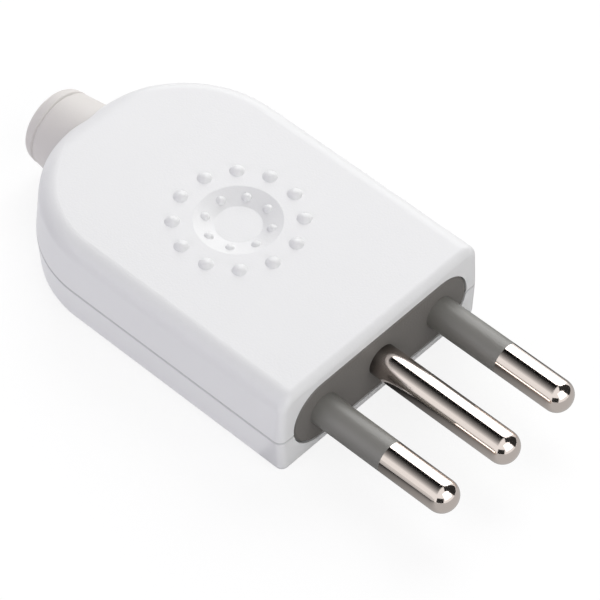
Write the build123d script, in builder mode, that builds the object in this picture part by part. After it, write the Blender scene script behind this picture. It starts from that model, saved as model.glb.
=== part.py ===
"""Grounded in-line plug: a two-part moulded housing closed round an insulating pin carrier,
three round pins in a row with sleeved line pins, screw terminals, a cord clamp and a cord guard.

+X runs along the pins, +Y across them and +Z out of the gripped top. The origin is where the
earth pin leaves the front face of the carrier. Lengths are in millimetres.
"""

import os
from math import cos, radians

from build123d import *

# Pins, measured from the carrier's front face
pin_r = 2.0
line_pin_reach = 19.4
earth_pin_reach = 19.8
pin_pitch = 9.5
tip_round = 1.85
sleeve_reach = 10.0
sleeve_wall = 0.6
waist_step = 0.2
moulded_gap = 0.02

# Terminal heads behind the carrier and the screws that close them on a core
head_r = 3.0
head_length = 10.5
head_flat = 2.4
core_bore_r = 1.3
core_bore_depth = 7.0
terminal_screw_inset = 2.8
terminal_thread_r = 1.5
screw_play = 0.05
terminal_screw_head_r = 2.2
terminal_screw_head_height = 1.5
terminal_screw_end = 0.5
slot_width = 0.6
slot_depth = 0.7

# Pin carrier, a stadium-shaped block with a locating groove round it
carrier_width = 28.2
carrier_height = 8.7
flange_thickness = 2.0
groove_width = 1.6
groove_depth = 1.4
block_inset = 0.5
carrier_depth = 10.0
head_seat = 5.0
carrier_edge = 0.25
head_edge = 0.3
seat_gap = 0.13

# Housing, as wide as the carrier and a border each side
face_border = 2.25
body_length = 47.1
rear_flat = 3.5
rear_flat_top = 1.2
top_z = 6.3
bottom_z = -6.0
seam_z = -0.7
wall = 1.7
roof = 1.6
floor = 1.7
side_lean = 0.4
rear_lean = 0.2
cover_lean = 0.3
brow_length = 4.2
brow_radius = 6.0
brow_sweep = 60.0
edge_round = 2.2
front_round = 1.0
seam_bevel = 0.18

# Tongue of the cover inside the rim of the upper shell
tongue_height = 1.1
tongue_thickness = 0.75
tongue_gap = 0.1

# Grip decoration on the top
grip_x = -22.0
dish_r = 5.15
dish_floor_r = 2.75
dish_depth = 0.8
dish_soften = 0.35
outer_dot_count = 12
outer_dot_circle = 7.45
outer_dot_r = 0.9
outer_dot_height = 0.5
outer_dot_turn = 15.0
inner_dot_count = 8
inner_dot_circle = 3.95
inner_dot_r = 0.58
inner_dot_height = 0.34
inner_dot_turn = -15.0

# Closing screws, from the underside into captive nuts
closing_x = -24.0
closing_inset = 6.4
closing_thread_r = 1.5
closing_hole_r = 1.65
closing_head_r = 2.7
closing_head_height = 2.0
closing_head_sunk = 0.4
closing_head_gap = 0.15
closing_screw_length = 8.0
nut_across_flats = 5.5
nut_thickness = 2.3
nut_gap = 0.08
boss_wall = 0.6
meet_gap = 0.1
nut_ledge = 1.2
recess_span = 3.0
recess_width = 0.7
recess_depth = 1.0

# Ribs that carry and stop the terminal heads
rib_thickness = 1.3
saddle_gap = 0.03
core_notch_r = 1.7
rib_side_gap = 0.6

# Cord clamp
clamp_inset = 10.5
clamp_length = 5.0
clamp_post_y = 7.0
clamp_post_r = 2.2
clamp_post_top = 0.6
clamp_bar_thickness = 2.0
clamp_bar_end = 2.3
clamp_crown = 0.9
clamp_screw_r = 1.2
clamp_screw_head_r = 2.0
clamp_screw_head_height = 1.3
clamp_screw_length = 6.2
clamp_hole_play = 0.15
clamp_round = 0.5
cord_r = 3.3
bite_width = 0.9
bite_depth = 0.4

# Cord guard, a sleeve held by its groove in the rear of the housing
guard_r = 5.4
guard_reach = 5.7
guard_taper = 0.7
guard_bore_r = 3.4
guard_throat_r = 3.1
guard_groove_r = 4.4
guard_groove_width = 1.4
guard_groove_behind = 4.6
guard_flange_r = 4.9
guard_flange_thickness = 1.2
guard_gap = 0.06
guard_lip = 1.9
guard_lip_line = 0.2
guard_end_round = 1.3
gland_half_width = 6.5
throat_taper = 1.0

# Worked out from the sizes above
half_width = carrier_width / 2 + face_border
closing_y = half_width - closing_inset
clamp_x = -body_length + clamp_inset
waist_r = pin_r - waist_step
neck_r = pin_r - sleeve_wall
head_rear_x = -head_seat - head_length
terminal_screw_x = head_rear_x + terminal_screw_inset
groove_front_x = -flange_thickness
groove_back_x = groove_front_x - groove_width
roof_z = top_z - roof
floor_z = bottom_z + floor
tongue_top_z = seam_z + tongue_height
nut_corner_r = nut_across_flats / 2 / cos(radians(30))
upper_boss_r = nut_corner_r + nut_gap + boss_wall
lower_boss_r = closing_head_r + closing_head_gap + boss_wall
closing_seat_z = bottom_z + closing_head_sunk + closing_head_height
lower_meet_z = tongue_top_z - meet_gap / 2
upper_meet_z = tongue_top_z + meet_gap / 2
nut_bottom_z = upper_meet_z + nut_ledge
clamp_bar_top = clamp_post_top + clamp_bar_thickness
guard_end_x = -body_length - guard_reach
gland_front_x = -body_length + guard_groove_behind
guard_groove_x = gland_front_x - guard_groove_width
clamp_bar_half = clamp_post_y + clamp_bar_end
line_sides = {"left": 1, "right": -1}
closing_places = [(closing_x, side * closing_y) for side in line_sides.values()]
clamp_places = [(clamp_x, side * clamp_post_y) for side in line_sides.values()]
pin_ys = [-pin_pitch, 0, pin_pitch]
rib_half = half_width - wall - rib_side_gap
far = 60.0


def plan(z, half, rear_x, flat, front_x):
    """Plan of the housing at height z: straight sides and two large corners round a short flat rear."""
    with BuildSketch(Plane.XY.offset(z)) as outline:
        with BuildLine():
            Polyline((front_x, -half), (rear_x, -half), (rear_x, half), (front_x, half), close=True)
        make_face()
        fillet(outline.vertices().group_by(Axis.X)[0], half - flat / 2)
    return outline.sketch.face()


def upper_plan(z, inset, front_x):
    """Plan of the upper shell at height z, set in by inset; it leans in as it rises."""
    share = (z - seam_z) / (top_z - seam_z)
    return plan(
        z,
        half_width - inset - share * side_lean,
        -body_length + inset + share * rear_lean,
        rear_flat + share * (rear_flat_top - rear_flat),
        front_x,
    )


def cover_plan(z, inset, front_x):
    """Plan of the lower cover at height z, set in by inset; it leans in towards its floor."""
    lean = cover_lean * (seam_z - z) / (seam_z - bottom_z)
    return plan(z, half_width - inset - lean, -body_length + inset + lean, rear_flat, front_x)


def side_below(top):
    """Side view of all that lies below the top surface: level, then a round brow at the rear."""
    with BuildSketch(Plane.XZ) as side:
        with BuildLine():
            level = Line((far, top), (-body_length + brow_length, top))
            brow = JernArc(level @ 1, (-1, 0), brow_radius - top_z + top, brow_sweep)
            Polyline(brow @ 1, ((brow @ 1).X, -far), (far, -far), level @ 0)
        make_face()
    return side.sketch.face()


def carrier_outline(inset, x):
    """Stadium of the pin carrier in the plane at x, set in by inset."""
    with BuildSketch(Plane.YZ.offset(x)) as outline:
        SlotOverall(carrier_width - 2 * inset, carrier_height - 2 * inset)
    return outline.sketch.face()


def round_rim(form, radius):
    """Round the edge where the top of form, brow and all, meets its walls."""
    tops = form.faces().filter_by(lambda f: f.normal_at(f.center()).Z > 0.9)
    inner = [e for e in tops[0].edges() if any(e.is_same(other) for other in tops[1].edges())]
    rim = [e for top in tops for e in top.edges() if not any(e.is_same(i) for i in inner)]
    fillet([e for e in rim if e.center().X < 0], radius)


# Forms of the housing: its outside, its hollow, and one between that ribs and bosses stop at
with BuildPart() as upper_outside:
    loft([upper_plan(seam_z, 0, far / 2), upper_plan(top_z, 0, far / 2)], ruled=True)
    extrude(side_below(top_z), amount=far, both=True, mode=Mode.INTERSECT)
    round_rim(upper_outside, edge_round)
    split(bisect_by=Plane.YZ, keep=Keep.BOTTOM)
    front_edges = upper_outside.faces().sort_by(Axis.X)[-1].edges()
    fillet(front_edges.filter_by(lambda e: e.center().Z > seam_z + front_round / 2), front_round)
    chamfer(upper_outside.faces().sort_by(Axis.Z)[0].edges(), seam_bevel)

with BuildPart() as upper_hollow:
    loft([upper_plan(seam_z, wall, 0), upper_plan(roof_z, wall, 0)], ruled=True)
    extrude(side_below(roof_z), amount=far, both=True, mode=Mode.INTERSECT)
    split(bisect_by=Plane.YZ.offset(groove_back_x), keep=Keep.BOTTOM)

with BuildPart() as upper_limit:
    skin_z = (top_z + roof_z) / 2
    loft([upper_plan(seam_z, wall / 2, 0), upper_plan(skin_z, wall / 2, 0)], ruled=True)
    extrude(side_below(skin_z), amount=far, both=True, mode=Mode.INTERSECT)

with BuildPart() as cover_outside:
    loft([cover_plan(bottom_z, 0, far / 2), cover_plan(seam_z, 0, far / 2)], ruled=True)
    split(bisect_by=Plane.YZ, keep=Keep.BOTTOM)
    bottom_edges = cover_outside.faces().sort_by(Axis.Z)[0].edges()
    upright_edges = cover_outside.faces().sort_by(Axis.X)[-1].edges().filter_by(Axis.Y, reverse=True)
    fillet(bottom_edges + upright_edges, front_round)
    chamfer(cover_outside.faces().sort_by(Axis.Z)[-1].edges(), seam_bevel)

with BuildPart() as cover_hollow:
    loft([cover_plan(floor_z, wall, 0), cover_plan(seam_z, wall, 0)], ruled=True)
    split(bisect_by=Plane.YZ.offset(groove_back_x), keep=Keep.BOTTOM)

# Opening in the front for the carrier and in the rear for the cord guard, shared by both shells
with BuildPart() as carrier_opening:
    extrude(carrier_outline(-seat_gap, 0), amount=-flange_thickness)
    extrude(carrier_outline(groove_depth - seat_gap, 0), amount=groove_back_x)

with BuildPart() as guard_opening:
    with BuildSketch(Plane.YZ.offset(guard_groove_x)):
        Circle(guard_r + guard_gap)
    extrude(amount=-far)
    with BuildSketch(Plane.YZ.offset(gland_front_x)):
        Circle(guard_groove_r + guard_gap)
    extrude(amount=-guard_groove_width)
    with BuildSketch(Plane.YZ.offset(gland_front_x)):
        Circle(guard_flange_r + guard_gap)
    extrude(amount=guard_flange_thickness + guard_gap)


def core_notches(rib_x):
    """Round passages for the three cores through a rib whose front is at rib_x."""
    with BuildSketch(Plane.YZ.offset(rib_x)) as notches:
        with Locations(*[(y, 0) for y in pin_ys]):
            Circle(core_notch_r)
    return notches.sketch


# Inside of the upper shell: nut bosses, the rib that stops the heads, the guard's block
with BuildPart() as upper_inside:
    with BuildSketch(Plane.XY.offset(upper_meet_z)):
        with Locations(*closing_places):
            Circle(upper_boss_r)
        with Locations((head_rear_x, 0)):
            Rectangle(rib_thickness, 2 * half_width, align=(Align.MAX, Align.CENTER))
    extrude(amount=far)
    with BuildSketch(Plane.XY.offset(seam_z)):
        with Locations((gland_front_x, 0)):
            Rectangle(guard_groove_behind - wall / 2, 2 * gland_half_width, align=(Align.MAX, Align.CENTER))
    extrude(amount=far)
    extrude(core_notches(head_rear_x), amount=-rib_thickness, mode=Mode.SUBTRACT)
    add(upper_limit.part, mode=Mode.INTERSECT)

with BuildPart() as upper_shell:
    add(upper_outside.part)
    add(upper_hollow.part, mode=Mode.SUBTRACT)
    # rebate for the tongue of the cover
    rebate_inset = wall - tongue_thickness - tongue_gap
    rebate_z = tongue_top_z + tongue_gap
    loft(
        [
            upper_plan(seam_z, rebate_inset, groove_back_x),
            upper_plan(rebate_z, rebate_inset, groove_back_x),
        ],
        ruled=True,
        mode=Mode.SUBTRACT,
    )
    add(upper_inside.part)
    add(carrier_opening.part, mode=Mode.SUBTRACT)
    add(guard_opening.part, mode=Mode.SUBTRACT)
    # screw holes and the side slots that the nuts slide in by
    with BuildSketch(Plane.XY.offset(upper_meet_z)):
        with Locations(*closing_places):
            Circle(closing_hole_r)
    extrude(amount=roof_z - upper_meet_z, mode=Mode.SUBTRACT)
    with BuildSketch(Plane.XY.offset(nut_bottom_z)):
        with Locations(*closing_places):
            RegularPolygon(nut_corner_r + nut_gap, 6, rotation=30)
        for x, y in closing_places:
            with Locations((x, y / 2)):
                Rectangle(nut_across_flats + 2 * nut_gap, abs(y))
    extrude(amount=nut_thickness + nut_gap, mode=Mode.SUBTRACT)
    # round dish for the fingers
    with BuildSketch(Plane.XZ):
        with BuildLine():
            Polyline(
                (grip_x, top_z - dish_depth),
                (grip_x + dish_floor_r, top_z - dish_depth),
                (grip_x + dish_r, top_z),
                (grip_x + dish_r, top_z + roof),
                (grip_x, top_z + roof),
                close=True,
            )
        make_face()
    revolve(axis=Axis((grip_x, 0, 0), (0, 0, 1)), mode=Mode.SUBTRACT)
    fillet(upper_shell.edges(Select.LAST).filter_by(GeomType.CIRCLE), dish_soften)
    # raised dots, a ring on the top and a ring on the slope of the dish
    slope_z = top_z - dish_depth * (dish_r - inner_dot_circle) / (dish_r - dish_floor_r)
    for count, circle, turn, base_r, height, base_z in (
        (outer_dot_count, outer_dot_circle, outer_dot_turn, outer_dot_r, outer_dot_height, top_z),
        (inner_dot_count, inner_dot_circle, inner_dot_turn, inner_dot_r, inner_dot_height, slope_z),
    ):
        ball_r = (base_r**2 + height**2) / (2 * height)
        with Locations((grip_x, 0, base_z + height - ball_r)):
            with PolarLocations(circle, count, start_angle=turn):
                Sphere(ball_r)
upper_shell.part.label = "upper_shell"

# Inside of the lower cover, below and above its seam
with BuildPart() as cover_inside:
    with BuildSketch(Plane.XY.offset(floor_z - floor / 2)):
        with Locations(*closing_places):
            Circle(lower_boss_r)
        with Locations((head_rear_x, 0)):
            Rectangle(rib_thickness, 2 * rib_half, align=(Align.MAX, Align.CENTER))
        with Locations((terminal_screw_x, 0)):
            Rectangle(rib_thickness, 2 * rib_half)
        with Locations((clamp_x - clamp_length / 4, 0), (clamp_x + clamp_length / 4, 0)):
            Rectangle(bite_width, 2 * clamp_post_y)
    extrude(amount=lower_meet_z - floor_z + floor / 2)
    with BuildSketch(Plane.XY.offset(floor_z - floor / 2)):
        with Locations(*clamp_places):
            Circle(clamp_post_r)
    extrude(amount=clamp_post_top - floor_z + floor / 2)
    with BuildSketch(Plane.YZ.offset(terminal_screw_x + rib_thickness)):
        with Locations(*[(y, 0) for y in pin_ys]):
            Circle(head_r + saddle_gap)
    extrude(amount=-2 * rib_thickness, mode=Mode.SUBTRACT)
    extrude(core_notches(head_rear_x), amount=-rib_thickness, mode=Mode.SUBTRACT)
    with BuildSketch(Plane.YZ.offset(clamp_x - clamp_length / 2)):
        Circle(cord_r - bite_depth)
    extrude(amount=clamp_length, mode=Mode.SUBTRACT)

with BuildPart() as cover_tongue:
    for inset, mode in ((wall - tongue_thickness, Mode.ADD), (wall, Mode.SUBTRACT)):
        loft(
            [upper_plan(seam_z - floor / 2, inset, groove_back_x), upper_plan(tongue_top_z, inset, groove_back_x)],
            ruled=True,
            mode=mode,
        )
    with BuildSketch(Plane.XY.offset(seam_z - floor)):
        with Locations((gland_front_x, 0)):
            Rectangle(far, 2 * (gland_half_width + tongue_gap), align=(Align.MAX, Align.CENTER))
    extrude(amount=far, mode=Mode.SUBTRACT)

with BuildPart() as lower_cover:
    add(cover_outside.part)
    add(cover_hollow.part, mode=Mode.SUBTRACT)
    add(cover_tongue.part)
    add(cover_inside.part)
    with BuildSketch(Plane.XY.offset(floor_z - floor / 2)):
        with Locations((gland_front_x, 0)):
            Rectangle(guard_groove_behind - wall / 2, 2 * gland_half_width, align=(Align.MAX, Align.CENTER))
    extrude(amount=seam_z - floor_z + floor / 2)
    add(carrier_opening.part, mode=Mode.SUBTRACT)
    add(guard_opening.part, mode=Mode.SUBTRACT)
    for hole_r, low_z, high_z in (
        (closing_hole_r, bottom_z, tongue_top_z),
        (closing_head_r + closing_head_gap, bottom_z, closing_seat_z),
    ):
        with BuildSketch(Plane.XY.offset(low_z)):
            with Locations(*closing_places):
                Circle(hole_r)
        extrude(amount=high_z - low_z, mode=Mode.SUBTRACT)
    with BuildSketch(Plane.XY.offset(clamp_post_top)):
        with Locations(*clamp_places):
            Circle(clamp_screw_r + moulded_gap)
    extrude(amount=clamp_bar_top - clamp_screw_length - screw_play - clamp_post_top, mode=Mode.SUBTRACT)
lower_cover.part.label = "lower_cover"

# Insulating block that holds the pins
with BuildPart() as pin_carrier:
    extrude(carrier_outline(0, 0), amount=-flange_thickness)
    chamfer(pin_carrier.faces().sort_by(Axis.X)[-1].edges(), carrier_edge)
    extrude(carrier_outline(groove_depth, groove_front_x), amount=-groove_width - seat_gap)
    block_front_x = groove_back_x - seat_gap
    extrude(carrier_outline(block_inset, block_front_x), amount=-carrier_depth - block_front_x)
    with BuildSketch(Plane.YZ):
        with Locations(*[(y, 0) for y in pin_ys]):
            Circle(waist_r + moulded_gap)
    extrude(amount=-carrier_depth, mode=Mode.SUBTRACT)
    with BuildSketch(Plane.YZ.offset(-head_seat)):
        with Locations(*[(y, 0) for y in pin_ys]):
            Circle(head_r + seat_gap)
        with Locations((0, head_flat + seat_gap)):
            Rectangle(carrier_width, carrier_height, align=(Align.CENTER, Align.MIN), mode=Mode.SUBTRACT)
    extrude(amount=-carrier_depth, mode=Mode.SUBTRACT)
pin_carrier.part.label = "pin_carrier"


def turned_pin(label, y, reach, shank):
    """Turned pin at y with a bored terminal head; shank is its outline from head to tip."""
    with BuildPart() as pin:
        with BuildSketch(Plane((0, y, 0))):
            with BuildLine():
                Polyline(
                    (head_rear_x, 0),
                    (head_rear_x, head_r),
                    (-head_seat, head_r),
                    *shank,
                    (reach, pin_r),
                    (reach, 0),
                    close=True,
                )
            make_face()
        revolve(axis=Axis((0, y, 0), (1, 0, 0)))
        fillet(pin.edges().sort_by(Axis.X)[-1], tip_round)
        chamfer(pin.edges().sort_by(Axis.X)[0], head_edge)
        with BuildSketch(Plane((0, y, head_flat))):
            with Locations((-head_seat, 0)):
                Rectangle(head_length, 2 * head_r, align=(Align.MAX, Align.CENTER))
        extrude(amount=head_r, mode=Mode.SUBTRACT)
        with BuildSketch(Plane((head_rear_x, y, 0), x_dir=(0, 1, 0), z_dir=(1, 0, 0))):
            Circle(core_bore_r)
        extrude(amount=core_bore_depth, mode=Mode.SUBTRACT)
        with BuildSketch(Plane((terminal_screw_x, y, head_flat))):
            Circle(terminal_thread_r)
        extrude(amount=-head_flat, mode=Mode.SUBTRACT)
    pin.part.label = label
    return pin.part


earth_pin = turned_pin("earth_pin", 0, earth_pin_reach, [(-head_seat, waist_r), (0, waist_r), (0, pin_r)])
line_shank = [(-head_seat, neck_r), (sleeve_reach, neck_r), (sleeve_reach, pin_r)]
line_pins = [
    turned_pin(f"line_pin_{side}", sign * pin_pitch, line_pin_reach, line_shank)
    for side, sign in line_sides.items()
]


def line_sleeve(label, y):
    """Insulating sleeve round the neck of a line pin, thinner where the carrier holds it."""
    with BuildPart() as sleeve:
        with BuildSketch(Plane((0, y, 0))):
            with BuildLine():
                Polyline(
                    (-head_seat, neck_r + moulded_gap),
                    (-head_seat, waist_r),
                    (0, waist_r),
                    (0, pin_r),
                    (sleeve_reach, pin_r),
                    (sleeve_reach, neck_r + moulded_gap),
                    close=True,
                )
            make_face()
        revolve(axis=Axis((0, y, 0), (1, 0, 0)))
    sleeve.part.label = label
    return sleeve.part


line_sleeves = [line_sleeve(f"line_sleeve_{side}", sign * pin_pitch) for side, sign in line_sides.items()]


def slotted_screw(label, x, y, seat_z, head, shank_r, end_z):
    """Screw with a slotted cheese head that seats at seat_z and a shank that ends at end_z."""
    screw_head_r, screw_head_height = head
    with BuildPart() as screw:
        with BuildSketch(Plane((x, y, seat_z))):
            Circle(screw_head_r)
        extrude(amount=screw_head_height)
        chamfer(screw.edges().sort_by(Axis.Z)[-1], slot_width / 3)
        with BuildSketch(Plane((x, y, seat_z))):
            Circle(shank_r)
        extrude(amount=end_z - seat_z)
        with BuildSketch(Plane((x, y, seat_z + screw_head_height))):
            Rectangle(slot_width, 2 * screw_head_r)
        extrude(amount=-slot_depth, mode=Mode.SUBTRACT)
    screw.part.label = label
    return screw.part


terminal_sides = {"earth": 0, **line_sides}
terminal_screws = [
    slotted_screw(
        f"terminal_screw_{side}",
        terminal_screw_x,
        sign * pin_pitch,
        head_flat,
        (terminal_screw_head_r, terminal_screw_head_height),
        terminal_thread_r - screw_play,
        terminal_screw_end,
    )
    for side, sign in terminal_sides.items()
]

# Bar that presses the cord down on the cover's ribs
with BuildPart() as cord_clamp_bar:
    crest_z = cord_r + clamp_crown
    with BuildSketch(Plane.YZ.offset(clamp_x - clamp_length / 2)) as section:
        with BuildLine():
            Polyline(
                (-clamp_bar_half, clamp_post_top),
                (clamp_bar_half, clamp_post_top),
                (clamp_bar_half, clamp_bar_top),
                (crest_z, clamp_bar_top),
                (cord_r - clamp_crown / 2, crest_z),
                (-cord_r + clamp_crown / 2, crest_z),
                (-crest_z, clamp_bar_top),
                (-clamp_bar_half, clamp_bar_top),
                close=True,
            )
        make_face()
        fillet(section.vertices().filter_by(lambda v: v.Z > clamp_post_top + clamp_round), clamp_round)
    extrude(amount=clamp_length)
    with BuildSketch(Plane.YZ.offset(clamp_x - clamp_length / 2)):
        Circle(cord_r - bite_depth)
    extrude(amount=clamp_length, mode=Mode.SUBTRACT)
    hollow = (clamp_length - 2 * bite_width) / 3
    for step in range(3):
        with BuildSketch(Plane.YZ.offset(clamp_x - clamp_length / 2 + step * (hollow + bite_width))):
            Circle(cord_r)
        extrude(amount=hollow, mode=Mode.SUBTRACT)
    with BuildSketch(Plane.XY.offset(clamp_bar_top)):
        with Locations(*clamp_places):
            Circle(clamp_screw_r + clamp_hole_play)
    extrude(amount=-clamp_bar_thickness, mode=Mode.SUBTRACT)
cord_clamp_bar.part.label = "cord_clamp_bar"

clamp_screws = [
    slotted_screw(
        f"cord_clamp_screw_{side}",
        clamp_x,
        sign * clamp_post_y,
        clamp_bar_top,
        (clamp_screw_head_r, clamp_screw_head_height),
        clamp_screw_r,
        clamp_bar_top - clamp_screw_length,
    )
    for side, sign in line_sides.items()
]


def closing_screw(label, x, y):
    """Pan-head screw with a cross recess, driven upwards from the underside."""
    with BuildPart() as screw:
        with BuildSketch(Plane((x, y, closing_seat_z))):
            Circle(closing_head_r)
        extrude(amount=-closing_head_height)
        fillet(screw.edges().sort_by(Axis.Z)[0], closing_head_height / 3)
        with BuildSketch(Plane((x, y, closing_seat_z))):
            Circle(closing_thread_r - screw_play)
        extrude(amount=closing_screw_length)
        with BuildSketch(Plane((x, y, closing_seat_z - closing_head_height))):
            Rectangle(recess_span, recess_width)
            Rectangle(recess_width, recess_span)
        extrude(amount=recess_depth, mode=Mode.SUBTRACT)
    screw.part.label = label
    return screw.part


def captive_nut(label, x, y):
    """Hexagon nut on its ledge in the upper shell's boss."""
    with BuildPart() as nut:
        with BuildSketch(Plane((x, y, nut_bottom_z))):
            RegularPolygon(nut_corner_r, 6, rotation=30)
            Circle(closing_thread_r, mode=Mode.SUBTRACT)
        extrude(amount=nut_thickness)
    nut.part.label = label
    return nut.part


closing_screws = [
    closing_screw(f"closing_screw_{side}", closing_x, sign * closing_y) for side, sign in line_sides.items()
]
closing_nuts = [
    captive_nut(f"closing_nut_{side}", closing_x, sign * closing_y) for side, sign in line_sides.items()
]

# Short flexible sleeve that the cord leaves by
with BuildPart() as cord_guard:
    throat_x = -body_length + throat_taper
    flange_front_x = gland_front_x + guard_flange_thickness
    lip_x = guard_end_x + guard_lip
    lip_r = guard_r - guard_taper * (1 - guard_lip / guard_reach)
    with BuildSketch(Plane.XY):
        with BuildLine():
            Polyline(
                (flange_front_x, guard_throat_r),
                (flange_front_x, guard_flange_r),
                (gland_front_x, guard_flange_r),
                (gland_front_x, guard_groove_r),
                (guard_groove_x, guard_groove_r),
                (guard_groove_x, guard_r),
                (-body_length, guard_r),
                (lip_x + guard_lip_line, lip_r),
                (lip_x, lip_r - guard_lip_line),
                (lip_x - guard_lip_line, lip_r),
                (guard_end_x, guard_r - guard_taper),
                (guard_end_x, guard_bore_r),
                (-body_length, guard_bore_r),
                (throat_x, guard_throat_r),
                close=True,
            )
        make_face()
    revolve(axis=Axis.X)
    end_edges = cord_guard.faces().sort_by(Axis.X)[0].edges().sort_by(SortBy.RADIUS)
    fillet(end_edges[-1], guard_end_round)
    chamfer(end_edges[0], guard_lip_line)
cord_guard.part.label = "cord_guard"

pieces = [
    upper_shell.part,
    lower_cover.part,
    pin_carrier.part,
    earth_pin,
    *line_pins,
    *line_sleeves,
    *terminal_screws,
    cord_clamp_bar.part,
    *clamp_screws,
    *closing_screws,
    *closing_nuts,
    cord_guard.part,
]

os.makedirs("parts", exist_ok=True)
for piece in pieces:
    export_step(piece, f"parts/{piece.label}.step")
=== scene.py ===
from math import cos, radians, sin

import bpy
from mathutils import Matrix, Vector


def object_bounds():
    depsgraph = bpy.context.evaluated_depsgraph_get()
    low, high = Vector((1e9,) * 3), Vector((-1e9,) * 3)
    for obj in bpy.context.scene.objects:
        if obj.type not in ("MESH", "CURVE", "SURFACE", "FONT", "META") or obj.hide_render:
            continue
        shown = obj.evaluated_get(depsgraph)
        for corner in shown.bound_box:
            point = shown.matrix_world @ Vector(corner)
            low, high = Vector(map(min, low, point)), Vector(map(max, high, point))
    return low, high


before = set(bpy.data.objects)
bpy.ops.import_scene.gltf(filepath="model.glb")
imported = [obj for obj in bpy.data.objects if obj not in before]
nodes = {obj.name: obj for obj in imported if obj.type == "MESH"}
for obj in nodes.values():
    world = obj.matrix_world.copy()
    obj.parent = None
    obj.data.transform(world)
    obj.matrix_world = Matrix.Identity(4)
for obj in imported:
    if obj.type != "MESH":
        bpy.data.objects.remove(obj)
cad_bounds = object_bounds()

# Camera, solved on the pins, the face and the rings of dots
camera_azimuth = radians(43.3)
camera_elevation = radians(49.86)
camera_distance = 0.3947
aim_right = -0.00907
aim_up = 0.00657
focal_pixels = 3550.0
photo_pixels = 600.0
sensor_width = 36.0

# Colours of the finishes
housing_white = (0.80, 0.80, 0.806, 1)
carrier_gray = (0.175, 0.165, 0.155, 1)
sleeve_gray = (0.21, 0.205, 0.19, 1)
nickel_tone = (0.79, 0.71, 0.66, 1)
zinc_tone = (0.62, 0.63, 0.64, 1)
guard_tone = (0.72, 0.69, 0.667, 1)
clamp_white = (0.78, 0.78, 0.77, 1)
white = (1, 1, 1, 1)

# Grain of the plastics: noise scale of the drift of tone and of the pitting, and depth of the pits
drift_scale = 90
pitting_scale = 4000
fine_pits = 0.000012
coarse_pits = 0.00004

# Turning marks of the metals: noise scale along x, y and z, and how far they carry the roughness
pin_marks = (3000, 300, 300)
screw_marks = (300, 300, 3000)
smoothest_share = 0.8
roughest_share = 1.25

# The joint between the two shells, drawn as a thin line of painted shade round the housing
seam_height = -0.0007
seam_half_line = 0.0003
seam_shade_depth = 0.4

# Painted shade on the bare pin where it leaves the carrier, at x = 0, fading out this far along it
root_shade_reach = 0.0025
root_shade_depth = 0.8

# The floor lights the plug as white card; where it is seen, part of its white is its own light
floor_size = 4
floor_gap = 0.0002
floor_white = (0.80, 0.80, 0.80, 1)
floor_seen = (0.20, 0.20, 0.20, 1)
floor_lift = 0.83

# Lamps look at the middle of the plug; the world adds a soft light from all round
plug_middle = Vector((-0.02, 0, 0))
world_light = 0.24

# Cards that only reflections see: the dark ones, and the height of those that lie on the table
dark_shade = 0.03
table_card_z = cad_bounds[0][2] - 0.0001


def feed(tree, source, socket):
    """Feed a socket from another socket, or set it to a plain value."""
    if isinstance(source, bpy.types.NodeSocket):
        tree.links.new(source, socket)
    else:
        socket.default_value = source


def worked_out(tree, operation, *values):
    """Result of a Math node on sockets and numbers."""
    node = tree.nodes.new("ShaderNodeMath")
    node.operation = operation
    for value, socket in zip(values, node.inputs):
        feed(tree, value, socket)
    return node.outputs[0]


def shaded(tree, colour, shade):
    """Colour times shade."""
    product = tree.nodes.new("ShaderNodeMix")
    product.data_type = "RGBA"
    product.blend_type = "MULTIPLY"
    product.inputs["Factor"].default_value = 1
    feed(tree, colour, product.inputs["A"])
    feed(tree, shade, product.inputs["B"])
    return product.outputs["Result"]


def in_object(tree):
    """The Object coordinates of the piece."""
    return tree.nodes.new("ShaderNodeTexCoord").outputs["Object"]


def new_group(name, inputs, outputs):
    """New node group with named sockets, and its nodes that give the inputs and take the outputs."""
    group = bpy.data.node_groups.new(name, "ShaderNodeTree")
    for way, sockets in (("INPUT", inputs), ("OUTPUT", outputs)):
        for socket, kind in sockets.items():
            group.interface.new_socket(socket, in_out=way, socket_type=f"NodeSocket{kind}")
    given = group.nodes.new("NodeGroupInput").outputs
    result = group.nodes.new("NodeGroupOutput").inputs
    return group, given, result


def grain_group():
    """Moulded-plastic grain: a slow drift of tone and a fine matte pitting."""
    group, given, result = new_group(
        "moulded grain",
        {"Base": "Color", "Drift": "Float", "Pitting Scale": "Float"},
        {"Colour": "Color", "Grain": "Float"},
    )
    place = in_object(group)
    slow = group.nodes.new("ShaderNodeTexNoise")
    slow.inputs["Scale"].default_value = drift_scale
    slow.inputs["Detail"].default_value = 3
    feed(group, place, slow.inputs["Vector"])
    shift = worked_out(group, "SUBTRACT", slow.outputs["Fac"], 0.5)
    amount = worked_out(group, "MULTIPLY_ADD", shift, given["Drift"], 1)
    feed(group, shaded(group, given["Base"], amount), result["Colour"])
    fine = group.nodes.new("ShaderNodeTexNoise")
    fine.inputs["Detail"].default_value = 2
    feed(group, place, fine.inputs["Vector"])
    feed(group, given["Pitting Scale"], fine.inputs["Scale"])
    feed(group, fine.outputs["Fac"], result["Grain"])
    return group


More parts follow.
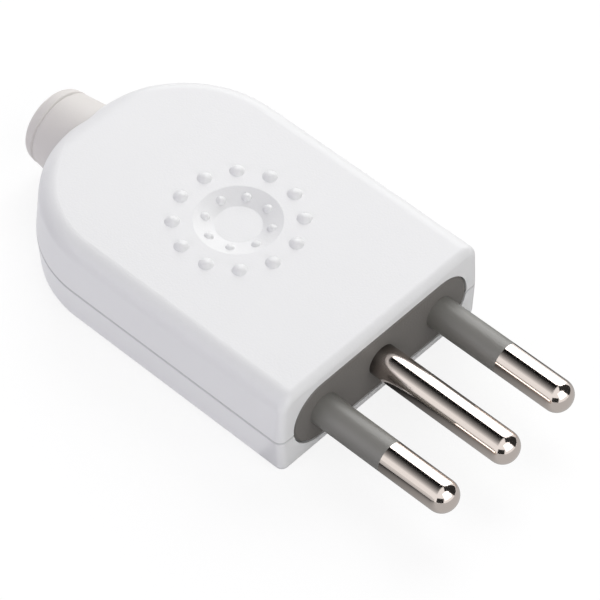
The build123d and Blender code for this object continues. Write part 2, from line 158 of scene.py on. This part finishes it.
def painted_shade_group():
    """Band of painted shade: the nearer to the plane at Centre along Axis, the darker, up to Depth."""
    group, given, result = new_group(
        "painted shade band",
        {"Base": "Color", "Axis": "Vector", "Centre": "Float", "Reach": "Float", "Depth": "Float"},
        {"Colour": "Color"},
    )
    along = group.nodes.new("ShaderNodeVectorMath")
    along.operation = "DOT_PRODUCT"
    feed(group, in_object(group), along.inputs[0])
    feed(group, given["Axis"], along.inputs[1])
    off = worked_out(group, "SUBTRACT", along.outputs["Value"], given["Centre"])
    band = group.nodes.new("ShaderNodeMapRange")
    band.interpolation_type = "SMOOTHSTEP"
    feed(group, worked_out(group, "ABSOLUTE", off), band.inputs["Value"])
    feed(group, given["Reach"], band.inputs["From Max"])
    feed(group, worked_out(group, "SUBTRACT", 1, given["Depth"]), band.inputs["To Min"])
    feed(group, shaded(group, given["Base"], band.outputs["Result"]), result["Colour"])
    return group


def turning_group():
    """Turning marks: a roughness that wanders between Smoothest and Roughest."""
    group, given, result = new_group(
        "turning marks",
        {"Marks": "Vector", "Smoothest": "Float", "Roughest": "Float"},
        {"Roughness": "Float"},
    )
    stretch = group.nodes.new("ShaderNodeVectorMath")
    stretch.operation = "MULTIPLY"
    feed(group, in_object(group), stretch.inputs[0])
    feed(group, given["Marks"], stretch.inputs[1])
    marks = group.nodes.new("ShaderNodeTexNoise")
    marks.inputs["Scale"].default_value = 1
    marks.inputs["Detail"].default_value = 2
    feed(group, stretch.outputs["Vector"], marks.inputs["Vector"])
    polish = group.nodes.new("ShaderNodeMapRange")
    feed(group, marks.outputs["Fac"], polish.inputs["Value"])
    feed(group, given["Smoothest"], polish.inputs["To Min"])
    feed(group, given["Roughest"], polish.inputs["To Max"])
    feed(group, polish.outputs["Result"], result["Roughness"])
    return group


moulded_grain = grain_group()
painted_shade_nodes = painted_shade_group()
turning_marks = turning_group()


def principled(name):
    """New material and its shader."""
    material = bpy.data.materials.new(name)
    material.use_nodes = True
    return material, material.node_tree.nodes["Principled BSDF"]


def placed(tree, group, **values):
    """Place a node group in a material with its own values; underscores stand for spaces."""
    node = tree.nodes.new("ShaderNodeGroup")
    node.node_tree = group
    for socket, value in values.items():
        feed(tree, value, node.inputs[socket.replace("_", " ")])
    return node.outputs


def moulded_plastic(name, colour, roughness, drift=0.03, pits=fine_pits):
    """Plastic as it leaves the mould, with a faint drift of tone and fine pitting."""
    material, shader = principled(name)
    tree = material.node_tree
    grain = placed(tree, moulded_grain, Base=colour, Drift=drift, Pitting_Scale=pitting_scale)
    feed(tree, grain["Colour"], shader.inputs["Base Color"])
    bump = tree.nodes.new("ShaderNodeBump")
    bump.inputs["Distance"].default_value = pits
    feed(tree, grain["Grain"], bump.inputs["Height"])
    feed(tree, bump.outputs["Normal"], shader.inputs["Normal"])
    shader.inputs["Roughness"].default_value = roughness
    return material


def plated_metal(name, colour, roughness, marks):
    """Plated metal with fine turning marks."""
    material, shader = principled(name)
    turned = placed(
        material.node_tree,
        turning_marks,
        Marks=marks,
        Smoothest=roughness * smoothest_share,
        Roughest=roughness * roughest_share,
    )
    feed(material.node_tree, turned["Roughness"], shader.inputs["Roughness"])
    shader.inputs["Base Color"].default_value = colour
    shader.inputs["Metallic"].default_value = 1
    return material


def paint_shade_band(material, axis, centre, reach, depth):
    """Paint shade into the material's colour: darkest by depth at the plane at centre along axis, less
    and less up to reach.
    """
    tree = material.node_tree
    colour = tree.nodes["Principled BSDF"].inputs["Base Color"]
    base = colour.links[0].from_socket if colour.is_linked else colour.default_value
    band = placed(tree, painted_shade_nodes, Base=base, Axis=axis, Centre=centre, Reach=reach, Depth=depth)
    feed(tree, band["Colour"], colour)


def dress(material, *names):
    """Give the named CAD nodes one material."""
    for name in names:
        for place in nodes[name].material_slots:
            place.material = material


housing = moulded_plastic("housing plastic", housing_white, 0.38)
# Painted shade: a thin dark line along the joint between the two shells
paint_shade_band(housing, (0, 0, 1), seam_height, seam_half_line, seam_shade_depth)
carrier = moulded_plastic("carrier plastic", carrier_gray, 0.5, drift=0.12, pits=coarse_pits)
sleeve = moulded_plastic("sleeve plastic", sleeve_gray, 0.36, drift=0.08)
guard = moulded_plastic("guard plastic", guard_tone, 0.55, drift=0.06)
clamp = moulded_plastic("clamp plastic", clamp_white, 0.45)
nickel = plated_metal("nickel plate", nickel_tone, 0.10, pin_marks)
# Painted shade on each bare pin where it leaves the carrier
paint_shade_band(nickel, (1, 0, 0), 0, root_shade_reach, root_shade_depth)
zinc = plated_metal("zinc plate", zinc_tone, 0.28, screw_marks)

dress(housing, "upper_shell", "lower_cover")
dress(carrier, "pin_carrier")
dress(sleeve, "line_sleeve_left", "line_sleeve_right")
dress(nickel, "earth_pin", "line_pin_left", "line_pin_right")
dress(guard, "cord_guard")
dress(clamp, "cord_clamp_bar")
dress(zinc, "terminal_screw_earth", "terminal_screw_left", "terminal_screw_right")
dress(zinc, "cord_clamp_screw_left", "cord_clamp_screw_right")
dress(zinc, "closing_screw_left", "closing_screw_right")
dress(zinc, "closing_nut_left", "closing_nut_right")


def seen_background(tree):
    """One where the background is seen: by the camera, in reflections and through clear things."""
    path = tree.nodes.new("ShaderNodeLightPath")
    total = path.outputs["Is Camera Ray"]
    for name in ("Is Glossy Ray", "Is Transmission Ray"):
        total = worked_out(tree, "MAXIMUM", total, path.outputs[name])
    return total


def pale_ground():
    """Pale floor just under the plug, seen as plain white but keeping the plug's shadow."""
    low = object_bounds()[0]
    bpy.ops.mesh.primitive_plane_add(size=floor_size, location=(0, 0, low[2] - floor_gap))
    floor = bpy.context.object
    floor.name = "floor"
    material, shader = principled("pale floor")
    shader.inputs["Roughness"].default_value = 0.9
    shader.inputs["Specular IOR Level"].default_value = 0
    shader.inputs["Emission Color"].default_value = white
    tree = material.node_tree
    seen = seen_background(tree)
    tone = tree.nodes.new("ShaderNodeMix")
    tone.data_type = "RGBA"
    tone.inputs["A"].default_value = floor_white
    tone.inputs["B"].default_value = floor_seen
    feed(tree, seen, tone.inputs["Factor"])
    feed(tree, tone.outputs["Result"], shader.inputs["Base Color"])
    feed(tree, worked_out(tree, "MULTIPLY", seen, floor_lift), shader.inputs["Emission Strength"])
    floor.data.materials.append(material)


def place_camera():
    """Camera at the photograph's place and angle."""
    back = Vector(
        (
            sin(camera_azimuth) * cos(camera_elevation),
            -cos(camera_azimuth) * cos(camera_elevation),
            sin(camera_elevation),
        )
    )
    right = Vector((cos(camera_azimuth), sin(camera_azimuth), 0))
    up = back.cross(right)
    data = bpy.data.cameras.new("camera")
    data.sensor_width = sensor_width
    data.lens = sensor_width * focal_pixels / photo_pixels
    data.clip_start = 0.01
    data.clip_end = 10
    camera = bpy.data.objects.new("camera", data)
    bpy.context.collection.objects.link(camera)
    spot = right * aim_right + up * aim_up + back * camera_distance
    turn = Matrix((right, up, back)).transposed().to_4x4()
    camera.matrix_world = Matrix.Translation(spot) @ turn
    bpy.context.scene.camera = camera


def area_lamp(name, spot, size, power, tint=(1, 1, 1), in_reflections=True):
    """Soft square lamp at spot that looks at the plug."""
    data = bpy.data.lights.new(name, "AREA")
    data.size = size
    data.energy = power
    data.color = tint
    lamp = bpy.data.objects.new(name, data)
    bpy.context.collection.objects.link(lamp)
    lamp.location = spot
    aim = plug_middle - Vector(spot)
    lamp.rotation_euler = aim.to_track_quat("-Z", "Y").to_euler()
    lamp.visible_glossy = in_reflections


def reflected_card(name, spot, width, depth, shade, level=False):
    """Card of one shade that only reflections see; it faces the plug unless it lies level."""
    bpy.ops.mesh.primitive_plane_add(size=1, location=spot)
    card = bpy.context.object
    card.name = name
    card.scale = (width, depth, 1)
    if not level:
        card.rotation_euler = (-Vector(spot)).to_track_quat("Z", "Y").to_euler()
    card.visible_camera = False
    card.visible_diffuse = False
    card.visible_transmission = False
    card.visible_shadow = False
    material = bpy.data.materials.new(name)
    material.use_nodes = True
    tree = material.node_tree
    tree.nodes.clear()
    glow = tree.nodes.new("ShaderNodeEmission")
    glow.inputs["Strength"].default_value = shade
    output = tree.nodes.new("ShaderNodeOutputMaterial")
    feed(tree, glow.outputs[0], output.inputs[0])
    card.data.materials.append(material)
    return tree, glow


def faded_card(name, spot, width, depth, axis, ends, shades, curve=1):
    """Level card whose shade runs along axis between two ends, where the card is 1 long."""
    tree, glow = reflected_card(name, spot, width, depth, 1, level=True)
    part = tree.nodes.new("ShaderNodeSeparateXYZ")
    feed(tree, in_object(tree), part.inputs[0])
    fade = tree.nodes.new("ShaderNodeMapRange")
    feed(tree, part.outputs[axis], fade.inputs["Value"])
    for socket, value in zip(("From Min", "From Max", "To Min", "To Max"), ends + shades):
        fade.inputs[socket].default_value = value
    feed(tree, worked_out(tree, "POWER", fade.outputs["Result"], curve), glow.inputs["Strength"])


def white_world():
    """World that reads as white behind the plug and lights it softly."""
    world = bpy.data.worlds.new("studio")
    bpy.context.scene.world = world
    world.use_nodes = True
    tree = world.node_tree
    tree.nodes.clear()
    soft = tree.nodes.new("ShaderNodeBackground")
    soft.inputs["Color"].default_value = white
    soft.inputs["Strength"].default_value = world_light
    behind = tree.nodes.new("ShaderNodeBackground")
    behind.inputs["Color"].default_value = white
    mix = tree.nodes.new("ShaderNodeMixShader")
    output = tree.nodes.new("ShaderNodeOutputWorld")
    feed(tree, seen_background(tree), mix.inputs[0])
    feed(tree, soft.outputs[0], mix.inputs[1])
    feed(tree, behind.outputs[0], mix.inputs[2])
    feed(tree, mix.outputs[0], output.inputs[0])


pale_ground()
place_camera()

area_lamp("key lamp", (-0.42, 0.69, 0.588), 1.0, 8.6)
area_lamp("front lamp", (0.77, -0.02, 0.64), 0.9, 3.4)
area_lamp("fill lamp", (-0.30, -0.90, 0.32), 0.8, 3.5, (0.91, 0.885, 1), in_reflections=False)
area_lamp("low lamp", (0.93, -0.25, 0.20), 0.7, 2.4, in_reflections=False)

# The card over the plug draws the dark streak along each pin, and the dark ones edge the pins' tips
faded_card("overhead_card", (-0.32, -0.195, 0.5), 0.5, 0.77, "Y", (-0.5, 0.313), (1.0, 0.02), 1.6)
reflected_card("high_card", (0.175, 0.28, 0.616), 0.45, 0.45, dark_shade)
reflected_card("right_card", (0.39, 0.61, 0.34), 0.78, 0.78, dark_shade)
reflected_card("left_card", (0.42, -0.666, 0.147), 0.65, 0.55, dark_shade)
reflected_card("low_card", (-0.28, -0.60, 0.055), 0.5, 0.15, 0.7)

# The cards on the table shade the lower side of each pin, darkest near the carrier
faded_card("table_card", (0.098, -0.025, table_card_z), 0.204, 0.35, "X", (-0.4755, -0.382), (0.02, 0.55))
reflected_card("apron_card", (-0.177, -0.3135, table_card_z), 0.346, 0.573, 0.55, level=True)

white_world()
bpy.context.scene.view_settings.view_transform = "Standard"
